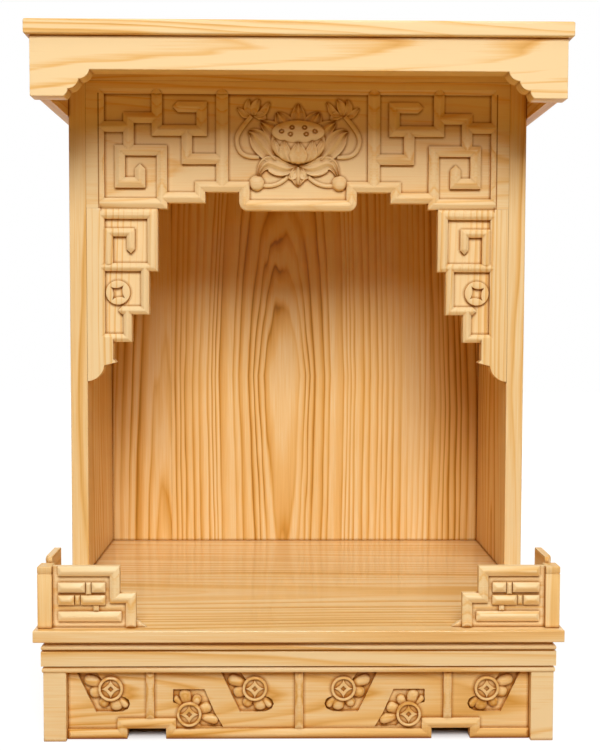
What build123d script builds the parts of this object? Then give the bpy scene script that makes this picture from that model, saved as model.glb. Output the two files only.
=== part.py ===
from build123d import *
import os

os.makedirs("parts", exist_ok=True)

# A small pine altar cabinet: an open niche under a projecting canopy, on a floor
# board that runs forward between two low balustrades and stands on a carved base.
# Millimetres, +Z up, front towards -Y. The origin is on the ground, under the
# middle of the floor board.

# Driving sizes: body and floor
body_width = 442.0
floor_depth = 380.0
floor_thickness = 10.0
body_depth = 206.5
niche_height = 486.0
ceiling_thickness = 18.5
side_thickness = 9.5
back_thickness = 9.0
post_width = 16.5
post_depth = 24.5

# Driving sizes: canopy
canopy_overhang = 99.0
top_thickness = 13.5
top_lip = 4.5
top_edge_radius = 2.0
fascia_thickness = 19.0
fascia_drop = 52.5
fascia_arch = 23.0
fascia_end = 29.5
lobe_run = 3.5
lobe_rise = 6.5
scallop_run = 9.5
scallop_rise = 8.5
scallop_radius = 10.0
fascia_lip = 4.5
canopy_side_thickness = 10.0
canopy_side_drop = 52.5

# Driving sizes: carved screen in the mouth of the niche
screen_thickness = 14.0
screen_margin = 17.0
side_batten_width = 5.0
batten_groove_width = 1.2
batten_groove_depth = 1.0
relief_depth = 6.0
bar_width = 10.0
long_bar_width = 11.5
small_bar_width = 8.0
valance_height = 123.0
valance_margin = 11.5
joint_rise = 1.5
tablet_half_width = 57.0
tablet_corner = 8.0
high_step_half_width = 90.0
high_step_rise = 17.8
low_step_half_width = 126.8
ridge_width = 1.2
slope_share_of_relief = 0.4
low_step_rise = 7.3
bracket_reach_1 = 68.4
bracket_reach_2 = 60.0
bracket_reach_3 = 42.8
bracket_reach_4 = 24.8
bracket_drop_1 = 60.6
bracket_drop_2 = 102.6
bracket_drop_3 = 129.4
bracket_drop_4 = 149.2
bracket_toe = 3.0
bracket_tail_reach = 16.3
bracket_tail_rise = 3.0
bracket_tail_radius = 18.0
bracket_length = 167.7
bracket_curl_width = 25.2
bracket_curl_rise = 0.62
bracket_curl_fall = 0.27
bracket_hook_reach = 26.5

# Driving sizes: balustrades on the floor board
rail_setback_front = 8.0
rail_setback_side = 2.5
rail_height = 52.0
corner_post_width = 12.0
corner_post_depth = 16.0
front_rail_thickness = 8.0
front_rail_top = 56.4
front_rail_step = 13.4
front_rail_foot = 8.5
rail_step_drop = 22.8
rail_foot_height = 6.0
rail_relief = 4.0
rail_bar_width = 8.4
rail_bar_gap = 4.8
rail_row_clearance = 3.5
rail_row_split = 5.4
rail_link_width = 4.6
rail_link_height = 3.0
rail_row_shares = (0.185, 0.45, 0.655)
rail_link_shares = (0.41, 0.64, 0.8)
side_rail_thickness = 7.5
side_rail_inset = 2.0
side_rail_height = 57.0
side_rail_top = 38.0
side_rail_step = 16.0
side_rail_foot = 8.5

# Driving sizes: base
base_height = 86.0
cornice_height = 27.0
base_setback = 7.0
leg_width = 19.0
leg_depth = 19.0
cornice_proud = 1.5
cornice_depth = 16.0
cornice_neck = 3.5
cornice_bead = 5.0
cornice_quirk = 1.2
apron_setback = 4.0
apron_thickness = 12.0
apron_relief = 4.0
apron_bar_width = 8.5
divider_width = 6.8
divider_centre = 125.5
notch_width = 32.5
notch_height = 9.0
notch_centre = 128.5
side_apron_thickness = 10.0
side_notch_margin = 46.0
rear_apron_height = 40.0
eased_edge = 1.0

# Places worked out from the driving sizes
half_body = body_width / 2
front_y = -floor_depth / 2
back_y = floor_depth / 2
floor_top = base_height + floor_thickness
ceiling_bottom = floor_top + niche_height
canopy_top = ceiling_bottom + ceiling_thickness
body_front = back_y - body_depth
back_panel_y = back_y - back_thickness
post_back = body_front + post_depth
half_mouth = half_body - post_width
fascia_y = body_front - canopy_overhang
half_fascia = half_body + canopy_side_thickness + fascia_lip
top_width = 2 * (half_fascia + top_lip)
valance_bottom = ceiling_bottom - valance_height
valance_joint = valance_bottom + joint_rise
leg_height = base_height - cornice_height
base_front = front_y + base_setback
half_base = half_body - base_setback


def save(piece, label):
    piece.part.label = label
    export_step(piece.part, f"parts/{label}.step")


def upright(y):
    """Drawing plane at depth y: sketch x is X, sketch y is Z, facing the front."""
    return Plane(origin=(0, y, 0), x_dir=(1, 0, 0), z_dir=(0, -1, 0))


def sideways(x):
    """Drawing plane at x: sketch x is Y, sketch y is Z, facing +X."""
    return Plane(origin=(x, 0, 0), x_dir=(0, 1, 0), z_dir=(1, 0, 0))


def board(label, low, high):
    """A plain board between two corners."""
    with BuildPart() as piece:
        with Locations(low):
            Box(*(b - a for a, b in zip(low, high)), align=(Align.MIN,) * 3)
    save(piece, label)


def slope(width, relief):
    """How far a carved bar slopes in from its edge to its ridge, and how far it falls there."""
    return (width - ridge_width) / 2, slope_share_of_relief * relief


def bars(runs):
    """Flat pattern of carved bars: each run is a width and the points of its middle line."""
    with BuildSketch() as pattern:
        for width, *points in runs:
            with BuildLine():
                Polyline(*points)
            trace(line_width=width)
    return pattern.sketch


def ridged_relief(plane, pattern, height, width):
    """A flat pattern raised from a plane, with its top sloped to a ridge."""
    with BuildPart() as piece:
        with BuildSketch(plane):
            add(pattern)
        extrude(amount=height)
        crest = piece.faces().sort_by(Axis(plane.origin, plane.z_dir))[-1]
        inward, down = slope(width, height)
        chamfer(crest.edges(), length=inward, length2=down, reference=crest)
    return piece.part


def batten(plane, width, height, *points):
    """A bar with a ridged top that stands on a plane, along the points of its middle line."""
    return ridged_relief(plane, bars(((width, *points),)), height, width)


def arrow_end(point, direction, width):
    """Pointed end of a bar, at the end of its middle line."""
    tip = Vector(*direction) * width / 2
    side = Vector(-tip.Y, tip.X)
    start = Vector(*point)
    with BuildSketch() as end:
        with BuildLine():
            Polyline(start - side, start + tip, start + side, start - side)
        make_face()
    return end.sketch


def front_edges(piece, *left_square):
    """Edges of a piece's front face, without those that a test in left_square picks."""
    edges = piece.edges().group_by(Axis.Y)[0]
    return [edge for edge in edges if not any(test(edge @ 0.5) for test in left_square)]


def mirrored(piece, label):
    """The twin of a piece on the other side."""
    with BuildPart() as twin:
        mirror(piece.part, about=Plane.YZ)
    save(twin, label)


# Floor board
with BuildPart() as floor_board:
    with BuildSketch(Plane.XY.offset(base_height)):
        Rectangle(body_width, floor_depth)
    extrude(amount=floor_thickness)
    fillet(floor_board.edges().filter_by(Axis.X).group_by(Axis.Y)[0], radius=1.0)
save(floor_board, "floor_board")

# Body: posts, side panels, back panel and ceiling board
with BuildPart() as left_front_post:
    with BuildSketch(Plane.XY.offset(floor_top)):
        with Locations((-half_body, body_front)):
            Rectangle(post_width, post_depth, align=(Align.MIN, Align.MIN))
    extrude(amount=niche_height)
    outer_corner = left_front_post.edges().filter_by(Axis.Z).sort_by(Axis.Y)[:2].sort_by(Axis.X)[0]
    fillet(outer_corner, radius=1.0)
save(left_front_post, "left_front_post")
mirrored(left_front_post, "right_front_post")

with BuildPart() as left_side_panel:
    with BuildSketch(Plane.XY.offset(floor_top)):
        with Locations((-half_body, post_back)):
            Rectangle(side_thickness, back_panel_y - post_back, align=(Align.MIN, Align.MIN))
    extrude(amount=niche_height)
save(left_side_panel, "left_side_panel")
mirrored(left_side_panel, "right_side_panel")

board("back_panel", (-half_body, back_panel_y, floor_top), (half_body, back_y, canopy_top))
board("ceiling_board", (-half_body, body_front, ceiling_bottom), (half_body, back_panel_y, canopy_top))

# Canopy: top board, scalloped front fascia and side fascias
with BuildPart() as top_board:
    with BuildSketch(Plane.XY.offset(canopy_top)):
        with Locations((0, back_y)):
            Rectangle(top_width, back_y - fascia_y + top_lip, align=(Align.CENTER, Align.MAX))
    extrude(amount=top_thickness)
    top_rims = top_board.edges().filter_by(Plane.XY)
    fillet(top_rims - top_rims.group_by(Axis.Y)[-1], radius=top_edge_radius)
save(top_board, "top_board")

fascia_bottom = canopy_top - fascia_drop
fascia_middle = fascia_bottom + fascia_arch
with BuildPart() as canopy_front_fascia:
    with BuildSketch(upright(fascia_y)):
        with BuildLine():
            Polyline((0, canopy_top), (half_fascia, canopy_top), (half_fascia, fascia_bottom))
            Line((half_fascia, fascia_bottom), (half_fascia - fascia_end, fascia_bottom))
            lobe_end = Vector(half_fascia - fascia_end, fascia_bottom)
            cusp_1 = lobe_end + (-lobe_run, lobe_rise)
            cusp_2 = cusp_1 + (-scallop_run, scallop_rise)
            cusp_3 = Vector(cusp_2.X - scallop_run, fascia_middle)
            RadiusArc(lobe_end, cusp_1, scallop_radius)
            RadiusArc(cusp_1, cusp_2, scallop_radius)
            RadiusArc(cusp_2, cusp_3, scallop_radius)
            Polyline(cusp_3, (0, fascia_middle), (0, canopy_top))
        make_face()
        mirror(about=Plane.YZ)
    extrude(amount=-fascia_thickness)
save(canopy_front_fascia, "canopy_front_fascia")

side_fascia_y = fascia_y + fascia_thickness
with BuildPart() as canopy_left_fascia:
    with BuildSketch(sideways(-half_body)):
        with Locations((side_fascia_y, canopy_top)):
            Rectangle(back_y - side_fascia_y, canopy_side_drop, align=(Align.MIN, Align.MAX))
    extrude(amount=-canopy_side_thickness)
save(canopy_left_fascia, "canopy_left_fascia")
mirrored(canopy_left_fascia, "canopy_right_fascia")

# Carved screen: valance between the posts, with a fret of raised bars on a sunk ground
high_step = valance_bottom + high_step_rise
low_step = valance_bottom + low_step_rise
half_bar = bar_width / 2
half_field = half_mouth - screen_margin
field_top = ceiling_bottom - valance_margin
bar_slope, bar_fall = slope(bar_width, relief_depth)
small_bar_slope, small_bar_fall = slope(small_bar_width, relief_depth)

# Columns of the left half's bars, from the middle, and their levels
side_bay = half_field - low_step_half_width
step_bay = low_step_half_width - high_step_half_width
outer_column = -low_step_half_width - 0.75 * side_bay
link_column = -low_step_half_width - 0.61 * side_bay
curl_column = -low_step_half_width - 0.43 * side_bay
short_column = -low_step_half_width - 0.16 * side_bay
border_column = -low_step_half_width - half_bar
hook_column = -high_step_half_width - 0.71 * step_bay
step_link_column = -high_step_half_width - 0.48 * step_bay
inner_column = -high_step_half_width - 0.09 * step_bay
tall_column = -(tablet_half_width + high_step_half_width) / 2
hook_level = ceiling_bottom - 0.194 * valance_height
link_level = ceiling_bottom - 0.28 * valance_height
side_link_level = ceiling_bottom - 0.35 * valance_height
inner_level = ceiling_bottom - 0.378 * valance_height
outer_level = ceiling_bottom - 0.533 * valance_height
step_link_level = ceiling_bottom - 0.598 * valance_height
curl_end_level = ceiling_bottom - 0.679 * valance_height
curl_level = ceiling_bottom - 0.784 * valance_height

border_run = (
    bar_width,
    (-half_field - half_bar, valance_joint + half_bar),
    (border_column, valance_joint + half_bar),
    (border_column, low_step + half_bar),
    (-high_step_half_width - half_bar, low_step + half_bar),
    (-high_step_half_width - half_bar, high_step + half_bar),
    (-tablet_half_width + half_bar, high_step + half_bar),
    (-tablet_half_width + half_bar, valance_bottom + half_bar),
    (half_bar, valance_bottom + half_bar),
)
outer_spiral_run = (
    bar_width,
    (curl_column, curl_end_level),
    (curl_column, curl_level),
    (outer_column, curl_level),
    (outer_column, outer_level),
    (border_column, outer_level),
    (border_column, low_step + half_bar),
)
link_run = (
    bar_width,
    (link_column, outer_level),
    (link_column, link_level),
    (short_column, link_level),
)
side_link_run = (bar_width, (-half_field - half_bar, side_link_level), (link_column, side_link_level))
inner_spiral_run = (
    bar_width,
    (short_column, field_top + half_bar),
    (short_column, inner_level),
    (inner_column, inner_level),
    (inner_column, hook_level),
    (hook_column, hook_level),
)
step_link_run = (
    bar_width,
    (step_link_column, inner_level),
    (step_link_column, step_link_level),
    (tall_column, step_link_level),
)
tall_bar_run = (
    long_bar_width,
    (tall_column, field_top + half_bar),
    (tall_column, high_step + half_bar),
)
with BuildPart() as valance_panel:
    with BuildSketch(upright(body_front)) as valance_outline:
        with BuildLine():
            Polyline(
                (0, ceiling_bottom),
                (half_mouth, ceiling_bottom),
                (half_mouth, valance_joint),
                (low_step_half_width, valance_joint),
                (low_step_half_width, low_step),
                (high_step_half_width, low_step),
                (high_step_half_width, high_step),
                (tablet_half_width, high_step),
                (tablet_half_width, valance_bottom),
                (0, valance_bottom),
                (0, ceiling_bottom),
            )
        make_face()
        tablet_end = valance_outline.vertices().sort_by_distance((tablet_half_width, valance_bottom))[0]
        fillet(tablet_end, radius=tablet_corner)
        mirror(about=Plane.YZ)
    extrude(amount=-screen_thickness)
    with BuildSketch(upright(body_front)):
        with Locations((0, field_top)):
            Rectangle(2 * half_field, valance_height, align=(Align.CENTER, Align.MAX))
        fret = (
            border_run,
            outer_spiral_run,
            link_run,
            side_link_run,
            inner_spiral_run,
            step_link_run,
            tall_bar_run,
        )
        add(bars(fret), mode=Mode.SUBTRACT)
        add(arrow_end((curl_column, curl_end_level), (0, 1), bar_width), mode=Mode.SUBTRACT)
        add(arrow_end((hook_column, hook_level), (-1, 0), bar_width), mode=Mode.SUBTRACT)
        with Locations((0, ceiling_bottom)):
            Rectangle(half_mouth, 2 * valance_height, align=(Align.MIN, Align.CENTER), mode=Mode.SUBTRACT)
        mirror(about=Plane.YZ)
    extrude(amount=-relief_depth, mode=Mode.SUBTRACT)
    carved_edges = front_edges(
        valance_panel,
        lambda middle: middle.Z > field_top + eased_edge,
        lambda middle: abs(middle.X) > half_field + eased_edge,
        lambda middle: abs(middle.Z - valance_joint) < eased_edge / 2,
    )
    crest = valance_panel.faces().sort_by(Axis.Y)[0]
    chamfer(carved_edges, length=bar_slope, length2=bar_fall, reference=crest)
    joint_slope_length = half_field + bar_slope - low_step_half_width
    with BuildSketch(sideways(low_step_half_width)) as joint_slope:
        with BuildLine():
            Polyline(
                (body_front, valance_joint),
                (body_front + bar_fall, valance_joint),
                (body_front, valance_joint + bar_slope),
                (body_front, valance_joint),
            )
        make_face()
    extrude(amount=joint_slope_length, mode=Mode.SUBTRACT)
    with BuildSketch(sideways(-half_field - bar_slope)):
        add(joint_slope.sketch_local)
    extrude(amount=joint_slope_length, mode=Mode.SUBTRACT)
    with BuildSketch(upright(body_front)):
        with Locations((half_field + side_batten_width, field_top)):
            Rectangle(batten_groove_width, field_top - valance_joint, align=(Align.CENTER, Align.MAX))
        mirror(about=Plane.YZ)
    extrude(amount=-batten_groove_depth, mode=Mode.SUBTRACT)
save(valance_panel, "valance_panel")

# Drop brackets: stepped carved panels that hang beside the posts below the valance
mouth_edge = -half_mouth
bracket_x = [mouth_edge + reach for reach in (bracket_reach_1, bracket_reach_2, bracket_reach_3)]
bracket_z = [valance_joint - fall for fall in (bracket_drop_1, bracket_drop_2, bracket_drop_3)]
toe_x = mouth_edge + bracket_reach_4
toe_z = valance_joint - bracket_drop_4
half_small = small_bar_width / 2
frame_run = (
    bar_width,
    (-half_field - half_bar, valance_joint - half_bar),
    (bracket_x[0] - half_bar, valance_joint - half_bar),
    (bracket_x[0] - half_bar, bracket_z[0]),
)
frame_foot_run = (
    small_bar_width,
    (bracket_x[0], bracket_z[0] + half_small),
    (-half_field - half_small, bracket_z[0] + half_small),
)
curl_x = (-half_field + half_small, -half_field + bracket_curl_width)
curl_top = bracket_z[0] + bracket_curl_rise * bracket_drop_1
curl_end = (curl_x[1], curl_top - bracket_curl_fall * bracket_drop_1)
curl_run = (
    small_bar_width,
    (curl_x[0], bracket_z[0] + half_small),
    (curl_x[0], curl_top),
    (curl_x[1], curl_top),
    curl_end,
)
second_step_end = (bracket_x[1] - bracket_hook_reach, bracket_z[1] + half_small)
second_step_run = (
    small_bar_width,
    (bracket_x[1] - half_small, bracket_z[0] + half_small),
    (bracket_x[1] - half_small, bracket_z[1] + half_small),
    second_step_end,
)
third_step_run = (
    small_bar_width,
    (bracket_x[2] - half_small, bracket_z[1] + half_small),
    (bracket_x[2] - half_small, bracket_z[2] + half_small),
    (-half_field - half_small, bracket_z[2] + half_small),
)
with BuildSketch() as curl_pattern:
    add(bars((curl_run,)))
    add(arrow_end(curl_end, (0, -1), small_bar_width))
screen_ground = upright(body_front + relief_depth)
curl = ridged_relief(screen_ground, curl_pattern.sketch, relief_depth, small_bar_width)
with BuildPart() as left_drop_bracket:
    with BuildSketch(upright(body_front)):
        with BuildLine():
            steps = Polyline(
                (mouth_edge, valance_joint),
                (bracket_x[0], valance_joint),
                (bracket_x[0], bracket_z[0]),
                (bracket_x[1], bracket_z[0]),
                (bracket_x[1], bracket_z[1]),
                (bracket_x[2], bracket_z[1]),
                (bracket_x[2], bracket_z[2]),
                (toe_x, bracket_z[2]),
                (toe_x, toe_z + bracket_toe),
                (toe_x + bracket_toe, toe_z),
                (mouth_edge + bracket_tail_reach, toe_z - bracket_tail_rise),
            )
            tail = RadiusArc(steps @ 1, (mouth_edge, valance_joint - bracket_length), bracket_tail_radius)
            Line(tail @ 1, steps @ 0)
        make_face()
    extrude(amount=-screen_thickness)
    with BuildSketch(upright(body_front)):
        with Locations((-half_field, valance_joint)):
            Rectangle(bracket_reach_1, bracket_drop_3, align=(Align.MIN, Align.MAX))
        add(bars((frame_run, frame_foot_run, second_step_run, third_step_run)), mode=Mode.SUBTRACT)
        add(arrow_end(second_step_end, (-1, 0), small_bar_width), mode=Mode.SUBTRACT)
    extrude(amount=-relief_depth, mode=Mode.SUBTRACT)
    carved_edges = front_edges(
        left_drop_bracket,
        lambda middle: middle.X < -half_field - eased_edge,
        lambda middle: middle.Z > valance_joint - eased_edge,
        lambda middle: middle.Z < bracket_z[2] - eased_edge,
    )
    crest = left_drop_bracket.faces().sort_by(Axis.Y)[0]
    chamfer(carved_edges, length=small_bar_slope, length2=small_bar_fall, reference=crest)
    with BuildSketch(sideways(-half_field - small_bar_slope)):
        with BuildLine():
            Polyline(
                (body_front, valance_joint),
                (body_front + small_bar_fall, valance_joint),
                (body_front, valance_joint - small_bar_slope),
                (body_front, valance_joint),
            )
        make_face()
    extrude(amount=2 * half_mouth, mode=Mode.SUBTRACT)
    add(curl)
save(left_drop_bracket, "left_drop_bracket")
mirrored(left_drop_bracket, "right_drop_bracket")

# Balustrades: corner posts, stepped front rails and stepped side rails
corner_x = -half_body + rail_setback_side
corner_y = front_y + rail_setback_front
with BuildPart() as left_corner_post:
    with BuildSketch(Plane.XY.offset(floor_top)):
        with Locations((corner_x, corner_y)):
            Rectangle(corner_post_width, corner_post_depth, align=(Align.MIN, Align.MIN))
    extrude(amount=rail_height)
    fillet(left_corner_post.edges().group_by(Axis.Z)[-1], radius=0.8)
save(left_corner_post, "left_corner_post")
mirrored(left_corner_post, "right_corner_post")



def fret_rows(height, row_end, long_row_end, linked):
    """Three rows of bars beside the post; in a linked fret uprights break the upper two."""
    lower_z, middle_z, upper_z = (share * height for share in rail_row_shares)
    levels = (middle_z, upper_z)
    rows = [((rail_bar_gap, lower_z), (long_row_end, lower_z))]
    if not linked:
        return rows + [((rail_bar_gap, z), (row_end, z)) for z in levels], []
    split_xs = [rail_bar_gap + share * (row_end - rail_bar_gap) for share in rail_link_shares]
    for x, z in zip(split_xs, levels):
        rows.append(((rail_bar_gap, z), (x - rail_row_split / 2, z)))
        rows.append(((x + rail_row_split / 2, z), (row_end, z)))
    half = rail_bar_width / 2
    spans = (
        (middle_z - half, middle_z + half),
        (middle_z + half, upper_z + half),
        (lower_z + half, middle_z - half),
    )
    return rows, [((x, low), (x, high)) for x, (low, high) in zip(split_xs, spans)]


def stepped_rail(plane, thickness, height, top_run, step_run, foot_run, linked):
    """A rail that steps down from its post, with a framing bar and rows of short bars."""
    step_height = height - rail_step_drop
    end = top_run + step_run
    half = rail_bar_width / 2
    frame_line = (
        (rail_bar_gap, height - half),
        (top_run - half, height - half),
        (top_run - half, step_height - half),
        (end - half, step_height - half),
        (end - half, 0),
    )
    row_margin = rail_bar_width + rail_row_clearance
    rows, links = fret_rows(height, top_run - row_margin, end - row_margin, linked)
    battens = [batten(plane, rail_bar_width, rail_relief, *points) for points in (frame_line, *rows)]
    battens += [batten(plane, rail_link_width, rail_link_height, *points) for points in links]
    with BuildPart() as rail:
        with BuildSketch(plane):
            with BuildLine():
                Polyline(
                    (0, 0),
                    (0, height),
                    (top_run, height),
                    (top_run, step_height),
                    (end, step_height),
                    (end, rail_foot_height),
                    (end + foot_run, 0),
                    (0, 0),
                )
            make_face()
        extrude(amount=rail_relief - thickness)
        add(battens)
    return rail


front_rail_plane = Plane(
    origin=(corner_x + corner_post_width, corner_y + rail_relief, floor_top),
    x_dir=(1, 0, 0),
    z_dir=(0, -1, 0),
)
left_front_rail = stepped_rail(
    front_rail_plane,
    front_rail_thickness,
    rail_height,
    front_rail_top,
    front_rail_step,
    front_rail_foot,
    linked=True,
)
save(left_front_rail, "left_front_rail")
mirrored(left_front_rail, "right_front_rail")

side_rail_plane = Plane(
    origin=(-corner_x - side_rail_inset - rail_relief, corner_y + corner_post_depth, floor_top),
    x_dir=(0, 1, 0),
    z_dir=(1, 0, 0),
)
right_side_rail = stepped_rail(
    side_rail_plane,
    side_rail_thickness,
    side_rail_height,
    side_rail_top,
    side_rail_step,
    side_rail_foot,
    linked=False,
)
save(right_side_rail, "right_side_rail")
mirrored(right_side_rail, "left_side_rail")

# Base: leg blocks, cornice moulding and aprons
legs = {
    "left_front_leg": (-half_base, base_front),
    "right_front_leg": (half_base - leg_width, base_front),
    "left_rear_leg": (-half_base, back_y - leg_depth),
    "right_rear_leg": (half_base - leg_width, back_y - leg_depth),
}
for label, (x, y) in legs.items():
    board(label, (x, y, 0), (x + leg_width, y + leg_depth, leg_height))

half_cornice = half_base + cornice_proud
cornice_front = base_front - cornice_proud
bead_radius = cornice_bead / 2
upper_bead_z = base_height - cornice_neck - bead_radius
lower_bead_z = leg_height + bead_radius


def cornice_section(plane):
    """Bead, flat band and bead; sketch x is the depth behind the band's face."""
    with BuildSketch(plane) as section:
        with BuildLine():
            Polyline((cornice_quirk, leg_height), (cornice_depth, leg_height), (cornice_depth, base_height))
            Polyline((cornice_depth, base_height), (cornice_neck, base_height))
            Line((cornice_neck, base_height), (bead_radius, upper_bead_z + bead_radius))
            ThreePointArc(
                (bead_radius, upper_bead_z + bead_radius),
                (0, upper_bead_z),
                (bead_radius, upper_bead_z - bead_radius),
            )
            Polyline(
                (bead_radius, upper_bead_z - bead_radius),
                (0, upper_bead_z - bead_radius - cornice_quirk / 2),
                (0, lower_bead_z + bead_radius + cornice_quirk / 2),
                (bead_radius, lower_bead_z + bead_radius),
            )
            ThreePointArc(
                (bead_radius, lower_bead_z + bead_radius),
                (cornice_quirk / 2, lower_bead_z),
                (cornice_quirk, leg_height),
            )
        make_face()
    return section.sketch


with BuildPart() as front_cornice:
    end_plane = Plane(origin=(-half_cornice, cornice_front, 0), x_dir=(0, 1, 0), z_dir=(1, 0, 0))
    extrude(cornice_section(end_plane), amount=2 * half_cornice)
    for side in (-1, 1):
        mitre = Plane(origin=(side * half_cornice, cornice_front, 0), z_dir=(-side, -1, 0))
        split(bisect_by=mitre, keep=Keep.TOP)
save(front_cornice, "front_cornice")

with BuildPart() as left_cornice:
    end_plane = Plane(origin=(-half_cornice, cornice_front, 0), x_dir=(1, 0, 0), z_dir=(0, -1, 0))
    extrude(cornice_section(end_plane), amount=-(back_y - cornice_front))
    split(bisect_by=Plane(origin=(-half_cornice, cornice_front, 0), z_dir=(-1, 1, 0)), keep=Keep.TOP)
save(left_cornice, "left_cornice")
mirrored(left_cornice, "right_cornice")

board(
    "rear_cornice_rail",
    (-half_cornice + cornice_depth, back_y - cornice_depth, leg_height),
    (half_cornice - cornice_depth, back_y, base_height),
)

apron_y = base_front + apron_setback
half_apron = half_base - leg_width
apron_ground = upright(apron_y + apron_relief)
half_border = apron_bar_width / 2
notch_outer = notch_centre + notch_width / 2 + half_border
notch_inner = notch_centre - notch_width / 2 - half_border
border_line = (
    (-half_apron, half_border),
    (-notch_outer, half_border),
    (-notch_outer, notch_height + half_border),
    (-notch_inner, notch_height + half_border),
    (-notch_inner, half_border),
)
border_line += tuple((-x, z) for x, z in reversed(border_line))
apron_battens = [batten(apron_ground, apron_bar_width, apron_relief, *border_line)]
divider_feet = (
    (-divider_centre, notch_height + apron_bar_width),
    (0, apron_bar_width),
    (divider_centre, notch_height + apron_bar_width),
)
for x, foot in divider_feet:
    apron_battens.append(batten(apron_ground, divider_width, apron_relief, (x, foot), (x, leg_height)))
with BuildPart() as front_apron:
    with BuildSketch(apron_ground):
        with Locations((0, leg_height / 2)):
            Rectangle(2 * half_apron, leg_height)
        with Locations((-notch_centre, 0), (notch_centre, 0)):
            Rectangle(notch_width, 2 * notch_height, mode=Mode.SUBTRACT)
    extrude(amount=apron_relief - apron_thickness)
    add(apron_battens)
save(front_apron, "front_apron")

side_apron_low = base_front + leg_depth
side_apron_high = back_y - leg_depth
with BuildPart() as left_side_apron:
    with BuildSketch(sideways(-half_base + apron_setback)):
        with Locations((side_apron_low, 0)):
            Rectangle(side_apron_high - side_apron_low, leg_height, align=(Align.MIN, Align.MIN))
        with Locations((side_apron_low + side_notch_margin, 0), (side_apron_high - side_notch_margin, 0)):
            Rectangle(notch_width, 2 * notch_height, mode=Mode.SUBTRACT)
    extrude(amount=side_apron_thickness)
save(left_side_apron, "left_side_apron")
mirrored(left_side_apron, "right_side_apron")

board(
    "rear_apron",
    (-half_apron, back_y - apron_setback - side_apron_thickness, leg_height - rear_apron_height),
    (half_apron, back_y - apron_setback, leg_height),
)
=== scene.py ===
import math

import bmesh
import bpy
from bpy.props import FloatProperty, FloatVectorProperty, PointerProperty, StringProperty
from mathutils import Matrix, Vector


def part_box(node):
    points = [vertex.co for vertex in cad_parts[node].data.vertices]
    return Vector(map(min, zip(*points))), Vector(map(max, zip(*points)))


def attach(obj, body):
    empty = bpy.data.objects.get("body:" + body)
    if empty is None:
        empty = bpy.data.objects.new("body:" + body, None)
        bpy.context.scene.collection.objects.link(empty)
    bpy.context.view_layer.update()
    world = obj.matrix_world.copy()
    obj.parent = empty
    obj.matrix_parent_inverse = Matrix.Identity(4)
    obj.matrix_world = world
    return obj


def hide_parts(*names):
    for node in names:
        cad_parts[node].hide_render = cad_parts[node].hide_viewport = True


bl_info = {
    "name": "Pine Altar Cabinet",
    "version": (1, 0, 0),
    "blender": (4, 5, 0),
    "location": "3D View > Sidebar > Cabinet",
    "description": "Finishes and carves a small varnished pine altar cabinet around its solid frame",
    "category": "Object",
}

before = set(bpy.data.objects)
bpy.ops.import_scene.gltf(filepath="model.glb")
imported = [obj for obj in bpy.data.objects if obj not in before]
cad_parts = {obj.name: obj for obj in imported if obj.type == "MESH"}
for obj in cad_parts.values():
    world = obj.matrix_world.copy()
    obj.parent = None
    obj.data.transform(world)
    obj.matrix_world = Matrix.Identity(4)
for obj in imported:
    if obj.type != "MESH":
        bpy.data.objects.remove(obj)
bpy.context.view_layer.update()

MM = 0.001
BODY = "root"
MATH = "ShaderNodeMath"
VECTOR_MATH = "ShaderNodeVectorMath"

# Places taken from the frame, in metres
BACK_LOW, BACK_HIGH = (Vector(corner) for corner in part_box("back_panel"))
SCREEN_LOW, SCREEN_HIGH = (Vector(corner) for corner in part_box("valance_panel"))
APRON_LOW, APRON_HIGH = (Vector(corner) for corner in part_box("front_apron"))


def linear(hex_colour):
    """An sRGB hex colour as the linear colour that the shaders expect."""
    channels = [int(hex_colour[i : i + 2], 16) / 255 for i in (1, 3, 5)]
    return [c / 12.92 if c <= 0.04045 else ((c + 0.055) / 1.055) ** 2.4 for c in channels] + [1.0]


def add_node(tree, kind, sockets=(), **settings):
    """One node with its settings.

    Its sockets are a list in their order, or a dictionary by name or number. Each takes a
    value, or the output that feeds it.
    """
    node = tree.nodes.new(kind)
    for name, value in settings.items():
        setattr(node, name, value)
    for key, value in sockets.items() if isinstance(sockets, dict) else enumerate(sockets):
        if isinstance(value, bpy.types.NodeSocket):
            tree.links.new(value, node.inputs[key])
        else:
            node.inputs[key].default_value = value
    return node


def set_stops(ramp, stops):
    """Gives a new colour ramp its stops, each a share of the way and a linear colour."""
    for share, _ in stops[2:]:
        ramp.elements.new(share)
    for element, (share, colour) in zip(ramp.elements, stops):
        element.position = share
        element.color = colour


# Each grain direction: the turn that brings the grain onto the pattern's own Z axis
GRAIN_TURN = {
    "upright": (0.0, 0.0, 0.0),
    "across": (0.0, -math.pi / 2, 0.0),
    "front_to_back": (math.pi / 2, 0.0, 0.0),
}

# The wood's patterns: size across and along the grain (mm), a shift that keeps them apart from
# each other, and detail. Real fibres are finer than a hair, so they are drawn as coarse as they
# need to be to show
TRUNK_STRAY = (60, 330, 0.0, 0)
RING_WAVER = (9, 90, 3.1, 1)
LINE_PATCHES = (26, 420, 7.7, 0)
FIBRES = (1.3, 55, 1.9, 1)
TONE_PATCHES = (75, 480, 5.3, 1)

# How far a ring wavers (mm), how fast good and poor years follow each other, and how many rings
# they shift the lines by
WAVER = 2.6
YEARS_PACE = 0.03
YEARS_SHIFT = 4.0

# One year's growth outwards from the pith: share of the year, and how dark the wood is there
ONE_YEAR = ((0.0, 0.25), (0.1, 0.04), (0.45, 0.1), (0.76, 0.62), (0.88, 1.0), (1.0, 0.25))

# Tone runs from 0, the palest wood, to 1, the darkest line. A board starts below 0, and stronger
# lines make it darker all over. The rest is what fibres, patches and lines add to its tone
FIRST_TONE = -0.43
TONE_OF_LINES = 0.3
FIBRE_TONE = 0.34
PATCH_TONE = 0.5
LINE_STRENGTH = 1.5
WEAKEST_LINE = -0.12

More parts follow.
